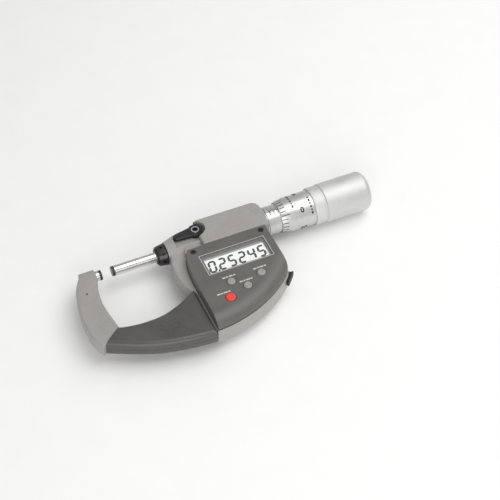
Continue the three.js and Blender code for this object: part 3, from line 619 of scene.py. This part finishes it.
@dataclass
class DisplayHead:
    """The face cover with its window, liquid crystal display, buttons and screws."""

    shop: Workshop
    ink: Ink
    reading: str = "025245"
    first_digit: float = 60.1
    pitch: float = 6.35
    digit_y: float = -28.3
    digit: tuple[float, float] = (3.6, 7.9)
    stroke: float = 1.35
    stroke_point: float = 0.42
    stroke_gap: float = 0.25
    point_shift: float = 1.6
    slant: float = 0.15
    outline_reach: float = 1.3
    outline_width: float = 0.35
    band_drop: float = 1.4
    band_size: tuple[float, float] = (0.6, 2.6)
    label_dashes: tuple[float, ...] = (2.1, 1.2, 2.4, 1.3)
    label_shifts: tuple[tuple[str, float], ...] = (
        ("unit", 0.0), ("zero", 0.6), ("hold", 0.6), ("power", -2.6),
    )
    label_gap: float = 0.4
    label_width: float = 8.2
    label_height: float = 1.0
    label_rise: float = 1.5
    cover_edge: float = 0.3
    plug_edge: float = 0.2
    shoulder: tuple[tuple[float, float], ...] = ((0.8, 0.0), (0.45, 0.08), (0.16, 0.3), (0.0, 0.75))
    dish: tuple[tuple[float, float], ...] = ((0.05, 0.45), (0.12, 0.0))
    button_steps: int = 64
    segments: dict[str, str] = field(default_factory=lambda: {
        "0": "abcdef", "2": "abged", "4": "fgbc", "5": "afgcd",
    })

    def build(self) -> None:
        """Builds every piece of the face."""
        self.shop.refine("front_cover", "frame_assembly", COVER_PLASTIC, self.cover_edge)
        self.shop.refine("display_window", "frame_assembly", WINDOW)
        self.shop.refine("cover_screw_left", "frame_assembly", BLACK_STEEL)
        self.shop.refine("cover_screw_right", "frame_assembly", BLACK_STEEL)
        self.shop.refine("cover_gasket", "frame_assembly", RUBBER)
        self.bezel()
        self.digits()
        self.band()
        self.labels()
        for key in ("unit", "zero", "hold", "power"):
            self.button(key)
        self.shop.refine("data_port_plug", "port_plug", RUBBER, self.plug_edge)
        self.shop.refine("battery_cover", "battery_cap", DARK_PLASTIC)

    def bezel(self) -> None:
        """Builds the thin light line round the window."""
        low, high = span("display_window")
        bm = bmesh.new()
        middle = ((low.x + high.x) / 2, (low.y + high.y) / 2, top_of("front_cover"))
        place = Matrix.Translation(middle)
        wide, tall = high.x - low.x + self.outline_reach, high.y - low.y + self.outline_reach
        reach = Matrix.Diagonal((wide, tall, 1.0, 1.0))
        bmesh.ops.create_grid(bm, x_segments=1, y_segments=1, size=0.5, matrix=place @ reach)
        ring = set(bmesh.ops.inset_region(
            bm, faces=bm.faces[:], thickness=self.outline_width,
            use_boundary=True, use_even_offset=True,
        )["faces"])
        inner = [f for f in bm.faces if f not in ring]
        bmesh.ops.delete(bm, geom=inner, context="FACES")
        bmesh.ops.solidify(bm, geom=bm.faces[:], thickness=self.ink.film * 2)
        bmesh.ops.translate(bm, verts=bm.verts, vec=(0, 0, self.ink.film))
        bmesh.ops.recalc_face_normals(bm, faces=bm.faces)
        bmesh.ops.scale(bm, verts=bm.verts, vec=(MM, MM, MM))
        self.shop.publish(bm, "window_outline", "frame_assembly", WHITE_INK)

    def stroke_at(self, bm: bmesh.types.BMesh, middle: Vector, length: float, upright: bool) -> None:
        """Adds one display segment with pointed ends.

        Args:
            bm: the shape it goes into.
            middle: the segment's middle in the digit's own millimetres.
            length: its length in millimetres.
            upright: whether it stands up.
        """
        turn = Matrix.Rotation(math.pi / 2 if upright else 0.0, 4, "Z")
        shape = Matrix.Diagonal((length, self.stroke, self.ink.film * 2, 1.0))
        place = Matrix.Translation(middle) @ turn @ shape
        made = bmesh.ops.create_cube(bm, size=1.0, matrix=place)
        rims = {e for v in made["verts"] for e in v.link_edges}
        uprights = {e for e in rims if abs((e.verts[0].co - e.verts[1].co).z) > self.ink.film}
        bmesh.ops.bevel(
            bm, geom=list(uprights), offset=self.stroke * self.stroke_point, offset_type="OFFSET",
            segments=1, profile=0.5, affect="EDGES", material=-1,
        )

    def digits(self) -> None:
        """Builds the six slanted digits and the point of the reading."""
        width, height = self.digit
        spots = {
            "a": (Vector((0, height / 2, 0)), False), "g": (Vector((0, 0, 0)), False),
            "d": (Vector((0, -height / 2, 0)), False),
            "f": (Vector((-width / 2, height / 4, 0)), True),
            "b": (Vector((width / 2, height / 4, 0)), True),
            "e": (Vector((-width / 2, -height / 4, 0)), True),
            "c": (Vector((width / 2, -height / 4, 0)), True),
        }
        top = top_of("display_panel") + self.ink.film
        bm = bmesh.new()
        for i, figure in enumerate(self.reading):
            one = bmesh.new()
            for name in self.segments[figure]:
                middle, upright = spots[name]
                length = (height / 2 if upright else width) - self.stroke_gap
                self.stroke_at(one, middle, length, upright)
            if i == 0:
                point = Vector((width / 2 + self.point_shift, -height / 2, 0))
                self.stroke_at(one, point, self.stroke, False)
            for v in one.verts:
                v.co.x += v.co.y * self.slant
            spot = (self.first_digit + i * self.pitch, self.digit_y, top)
            bmesh.ops.translate(one, verts=one.verts, vec=spot)
            bmesh.ops.scale(one, verts=one.verts, vec=(MM, MM, MM))
            pour(one, bm)
        self.shop.publish(bm, "display_digits", "frame_assembly", SEGMENT_INK)

    def band(self) -> None:
        """Builds the grey band along the top of the display."""
        low, high = span("display_window")
        bm = bmesh.new()
        top = top_of("display_panel")
        place = Matrix.Translation(((low.x + high.x) / 2, high.y - self.band_drop, top))
        extra, tall = self.band_size
        self.ink.bar(bm, (high.x - low.x + extra, tall), place)
        self.shop.publish(bm, "display_band", "frame_assembly", DISPLAY_BAND)

    def labels(self) -> None:
        """Builds a generic row of dashes over each button."""
        bm = bmesh.new()
        top = top_of("front_cover")
        for key, shift in self.label_shifts:
            low, high = span(key + "_button")
            x = (low.x + high.x) / 2 + shift - self.label_width / 2
            for dash in self.label_dashes:
                place = Matrix.Translation((x + dash / 2, high.y + self.label_rise, top))
                self.ink.bar(bm, (dash, self.label_height), place)
                x += dash + self.label_gap
        self.shop.publish(bm, "button_labels", "frame_assembly", WHITE_INK)

    def button(self, key: str) -> None:
        """Builds one push button with a soft shoulder and a shallow dish.

        Args:
            key: the button's name without its ending.
        """
        node = key + "_button"
        low, high = span(node)
        r = (high.x - low.x) / 2
        profile = [(low.z, 0.0), (low.z, r)]
        profile += [(high.z - drop, r - inset) for drop, inset in self.shoulder]
        profile += [(high.z - drop, r * share) for drop, share in self.dish]
        bm = self.shop.spin(profile, Axis.Z, self.button_steps)
        centre_on(bm, low, high)
        finish = BUTTON_RED if key == "power" else BUTTON_GREY
        self.shop.publish(bm, node + "_piece", key + "_key", finish, (node,))


@dataclass
class LockLever:
    """The spindle lock: a black lever held by a bright socket screw."""

    shop: Workshop
    lever_edge: float = 0.2
    screw_edge: float = 0.08
    land_foot: tuple[float, float] = (1.75, 2.6)
    land_top: tuple[float, float] = (1.8, 2.5)
    land_sink: float = 0.1
    land_rise: float = 0.06
    land_steps: int = 64

    def build(self) -> None:
        """Builds the lever and its screw."""
        self.shop.refine("lock_lever", "lock", BLACK_LEVER, self.lever_edge)
        self.shop.refine("lock_screw", "lock", BLACK_STEEL, self.screw_edge)
        self.land()

    def land(self) -> None:
        """Builds the polished land round the socket of the screw."""
        low, high = span("lock_screw")
        foot, top = high.z - self.land_sink, high.z + self.land_rise
        profile = [(foot, self.land_foot[0]), (foot, self.land_foot[1])]
        profile += [(top, self.land_top[1]), (top, self.land_top[0])]
        bm = self.shop.spin(profile, Axis.Z, self.land_steps)
        centre_on(bm, low, high)
        self.shop.publish(bm, "lock_screw_land", "lock", GROUND_STEEL)


@dataclass
class MicrometerHead:
    """Spindle, graduated sleeve, thimble and ratchet sleeve."""

    shop: Workshop
    ink: Ink
    index_angle: float = 97.0
    divisions: int = 25
    reading: float = 2.45
    scale_zero: float = 108.6
    scale_pitch: float = 0.635
    step_x: float = 143.2
    bevel_x: float = 121.5
    lip_r: float = 9.75
    rod_r: float = 3.175
    rod_face_r: float = 3.0
    rod_chamfer: float = 0.15
    rod_steps: int = 96
    thread_r: float = 3.7
    thread_x: tuple[float, float, float, float] = (96.0, 96.6, 136.0, 136.6)
    sleeve_bore: float = 6.9
    seat_r: float = 8.4
    seat_gap: float = 0.2
    turned_edge: float = 0.1
    index_x: tuple[float, float] = (107.0, 136.0)
    index_width: float = 0.28
    tick_count: int = 41
    tick_group: int = 4
    tick_lengths: tuple[float, float] = (2.6, 1.4)
    tick_width: float = 0.22
    tick_rise: float = 0.1
    scale_figure: float = 2.0
    scale_figure_shift: float = 0.75
    scale_figure_turn: float = 9.5
    thimble_clearance: float = 0.25
    nut_seat_r: float = 9.9
    thimble_end_bore: float = 8.2
    web_x: tuple[float, float] = (145.0, 153.0)
    web_bore: float = 3.25
    line_group: int = 5
    line_lengths: tuple[float, float] = (5.4, 3.6)
    line_width: float = 0.44
    line_start: float = 0.25
    dial_figure: float = 3.4
    dial_figure_x: float = 128.8
    dash_rings: tuple[tuple[float, float], ...] = ((123.6, 112.0), (134.9, 150.0))
    dashes: tuple[float, ...] = (1.6, 0.8, 1.2, 0.8, 1.6, 1.0)
    dash_length: float = 1.0
    dash_turn: float = 10.5
    skirt_bore: float = 11.4
    skirt_lip_r: float = 11.6
    skirt_r: float = 12.1
    skirt_x: tuple[float, float] = (138.4, 143.9)
    groove_r: float = 11.7
    groove_x: tuple[float, float] = (144.2, 145.0)
    shoulder_x: tuple[float, float] = (145.3, 145.6)
    shoulder_drop: float = 0.2
    corner: float = 4.0
    corner_steps: int = 10
    ratchet_bore: float = 10.2
    ratchet_end_bore: float = 4.6
    screw_bore: float = 2.4
    end_wall_x: tuple[float, float] = (164.5, 167.0)
    step_gap: float = 0.4
    ratchet_edge: float = 0.08

    def build(self) -> None:
        """Builds the turned pieces and their marks."""
        self.spindle()
        self.sleeve()
        self.sleeve_marks()
        self.thimble()
        self.thimble_marks()
        self.ratchet()

    def spindle(self) -> None:
        """Builds the ground spindle and its hard tip."""
        low, high = span("spindle")
        start, rise, fall, end = self.thread_x
        profile = [(low.x, 0.0), (low.x, self.rod_face_r), (low.x + self.rod_chamfer, self.rod_r)]
        profile += [(start, self.rod_r), (rise, self.thread_r), (fall, self.thread_r)]
        profile += [(end, self.rod_face_r), (high.x, self.rod_face_r), (high.x, 0.0)]
        bm = self.shop.spin(profile, Axis.X, self.rod_steps)
        self.shop.publish(bm, "spindle_piece", "spindle_unit", GROUND_STEEL, ("spindle",))
        self.shop.refine("spindle_carbide_tip", "spindle_unit", CARBIDE)

    def sleeve(self) -> None:
        """Builds the graduated sleeve."""
        low, high = span("sleeve")
        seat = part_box("frame")[1].x / MM + self.seat_gap
        profile = [(low.x, self.sleeve_bore), (low.x, self.seat_r), (seat, self.seat_r)]
        profile += [(seat, high.z), (high.x, high.z), (high.x, self.sleeve_bore)]
        bm = self.shop.spin(profile, Axis.X)
        self.shop.publish(
            bm, "sleeve_piece", "frame_assembly", SATIN_CHROME, ("sleeve",), self.turned_edge,
        )

    def sleeve_marks(self) -> None:
        """Engraves the index line, the scale and its figures on the sleeve."""
        r = top_of("sleeve")
        bm = bmesh.new()
        start, end = self.index_x
        place = round_place((start + end) / 2, self.index_angle, r)
        self.ink.bar(bm, (end - start, self.index_width), place)
        for i in range(self.tick_count):
            x = self.scale_zero + i * self.scale_pitch
            length = self.tick_lengths[0 if i % self.tick_group == 0 else 1]
            turn = math.degrees((length / 2 + self.tick_rise) / r)
            self.ink.bar(bm, (self.tick_width, length), round_place(x, self.index_angle - turn, r))
            if i % self.tick_group == 0:
                figure = self.ink.figure(str(i // self.tick_group % 10), self.scale_figure)
                angle = self.index_angle + self.scale_figure_turn
                self.ink.wrap(bm, figure, x + self.scale_figure_shift, angle, r)
        self.shop.publish(bm, "sleeve_marks", "frame_assembly", BLACK_INK)

    def thimble(self) -> None:
        """Builds the thimble with its graduated bevel."""
        low, high = span("thimble")
        r = high.z
        bore = top_of("sleeve") + self.thimble_clearance
        profile = [(low.x, bore), (low.x, self.lip_r), (self.bevel_x, r), (self.step_x, r)]
        profile += [(self.step_x, self.nut_seat_r), (high.x, self.nut_seat_r)]
        profile += [(high.x, self.thimble_end_bore), (self.web_x[1], self.thimble_end_bore)]
        profile += [(self.web_x[1], self.web_bore), (self.web_x[0], self.web_bore)]
        profile += [(self.web_x[0], bore)]
        bm = self.shop.spin(profile, Axis.X)
        self.shop.publish(
            bm, "thimble_piece", "spindle_unit", SATIN_CHROME, ("thimble",), self.turned_edge,
        )

    def thimble_marks(self) -> None:
        """Engraves the divisions, figures and generic dashes on the thimble."""
        low, high = span("thimble")
        r = high.z
        slope = math.degrees(math.atan2(r - self.lip_r, self.bevel_x - low.x))
        bm = bmesh.new()
        zero = self.index_angle + self.reading * 360 / self.divisions
        for i in range(self.divisions):
            length = self.line_lengths[0 if i % self.line_group == 0 else 1]
            x = low.x + self.line_start + length / 2
            surface = self.lip_r + (x - low.x) * math.tan(math.radians(slope))
            angle = zero - i * 360 / self.divisions
            self.ink.bar(bm, (length, self.line_width), round_place(x, angle, surface, slope))
            if i % self.line_group == 0:
                figure = self.ink.figure(str(i), self.dial_figure)
                self.ink.wrap(bm, figure, self.dial_figure_x, angle, r)
        for x, first in self.dash_rings:
            for k, dash in enumerate(self.dashes):
                place = round_place(x, first - k * self.dash_turn, r)
                self.ink.bar(bm, (self.dash_length, dash), place)
        self.shop.publish(bm, "thimble_marks", "spindle_unit", BLACK_INK)

    def ratchet(self) -> None:
        """Builds the ratchet sleeve with its skirt, groove and rounded end."""
        low, high = span("ratchet_sleeve")
        r = high.z
        profile = [(low.x, self.skirt_bore), (low.x, self.skirt_lip_r)]
        profile += [(x, self.skirt_r) for x in self.skirt_x]
        profile += [(x, self.groove_r) for x in self.groove_x]
        profile += [(self.shoulder_x[0], r - self.shoulder_drop), (self.shoulder_x[1], r)]
        for i in range(self.corner_steps + 1):
            turn = i / self.corner_steps * math.pi / 2
            x = high.x - self.corner + self.corner * math.sin(turn)
            profile.append((x, r - self.corner + self.corner * math.cos(turn)))
        inner, outer = self.end_wall_x
        profile += [(high.x, self.ratchet_end_bore), (outer, self.ratchet_end_bore)]
        profile += [(outer, self.screw_bore), (inner, self.screw_bore), (inner, self.ratchet_bore)]
        front = self.step_x + self.step_gap
        profile += [(front, self.ratchet_bore), (front, self.skirt_bore)]
        bm = self.shop.spin(profile, Axis.X)
        self.shop.publish(
            bm, "ratchet_sleeve_piece", "ratchet", RATCHET_METAL, ("ratchet_sleeve",),
            self.ratchet_edge,
        )


@dataclass
class InnerWorks:
    """Everything behind the covers, which keeps the shape of its CAD node."""

    shop: Workshop

    def build(self) -> None:
        """Dresses each node that no piece stands for, by its material slot."""
        for name, node in sorted(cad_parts.items()):
            if not node.hide_render:
                slot = node.material_slots[0].material.name.split(".")[0]
                self.shop.dress(name, FINISH_OF_SLOT[slot])


@dataclass
class Studio:
    """Pale floor, soft lights and the camera."""

    eye: tuple[float, float, float] = (-0.144550, -0.539259, 0.624914)
    azimuth: float = math.radians(-24.1258)
    elevation: float = math.radians(47.5656)
    lens: float = 100.8
    sensor: float = 36.0
    near: float = 0.01
    world_strength: float = 0.45
    floor_gap: float = 0.05
    floor_reach: float = 3.0
    floor_finish: Finish = Finish(
        "floor", "", (248, 248, 247), (245, 245, 244), 0.8, relief=0.00001,
    )

    def build(self) -> None:
        """Builds the whole stage."""
        self.floor()
        self.light("key_light", (0.4, -0.1, 0.85), 0.8, 4.4)
        self.light("front_light", (-0.22, -0.9, 0.34), 0.8, 4.6)
        self.light("right_light", (0.7, 0.35, 0.6), 0.5, 0.9)
        self.camera()
        bpy.context.scene.view_settings.view_transform = "Standard"
        world = bpy.data.worlds.new("studio_world")
        bpy.context.scene.world = world
        world.use_nodes = True
        sky = world.node_tree.nodes["Background"]
        sky.inputs["Color"].default_value = (1.0, 1.0, 1.0, 1.0)
        sky.inputs["Strength"].default_value = self.world_strength

    def floor(self) -> None:
        """Builds the floor that the tool lies on."""
        bm = bmesh.new()
        bmesh.ops.create_grid(bm, x_segments=2, y_segments=2, size=self.floor_reach)
        bmesh.ops.translate(bm, verts=bm.verts, vec=(0, 0, CAD_BOX[0].z - self.floor_gap * MM))
        mesh = bpy.data.meshes.new("floor")
        bm.to_mesh(mesh)
        bm.free()
        mesh.materials.append(self.floor_finish.material())
        floor = bpy.data.objects.new("floor", mesh)
        bpy.context.scene.collection.objects.link(floor)

    def light(self, name: str, place: tuple[float, float, float], size: float, power: float) -> None:
        """Hangs one soft square light that faces the tool.

        Args:
            name: the light's name.
            place: where it hangs, in metres.
            size: length of its side in metres.
            power: its power in watts.
        """
        lamp = bpy.data.lights.new(name, "AREA")
        lamp.size = size
        lamp.energy = power
        holder = bpy.data.objects.new(name, lamp)
        bpy.context.scene.collection.objects.link(holder)
        holder.location = place
        holder.rotation_mode = "QUATERNION"
        target = (CAD_BOX[0] + CAD_BOX[1]) / 2
        holder.rotation_quaternion = (target - Vector(place)).to_track_quat("-Z", "Y")

    def camera(self) -> None:
        """Sets up the camera, which looks down at the face from the anvil's side."""
        lens = bpy.data.cameras.new("camera")
        lens.lens = self.lens
        lens.sensor_width = self.sensor
        lens.clip_start = self.near
        holder = bpy.data.objects.new("camera", lens)
        bpy.context.scene.collection.objects.link(holder)
        turn = Matrix.Rotation(self.azimuth, 4, "Z")
        tilt = Matrix.Rotation(math.pi / 2 - self.elevation, 4, "X")
        holder.matrix_world = Matrix.Translation(self.eye) @ turn @ tilt
        bpy.context.scene.camera = holder


def main() -> None:
    """Builds every sub-assembly in order and reports it."""
    logging.basicConfig(level=logging.INFO, format="%(message)s")
    shop = Workshop()
    ink = Ink()
    for assembly in (
        CastFrame(shop), GripPads(shop), DisplayHead(shop, ink), LockLever(shop),
        MicrometerHead(shop, ink), InnerWorks(shop), Studio(),
    ):
        LOG.info("building %s", type(assembly).__name__)
        assembly.build()
    LOG.info("%d pieces made", len(shop.pieces))


if __name__ == "__main__":
    main()
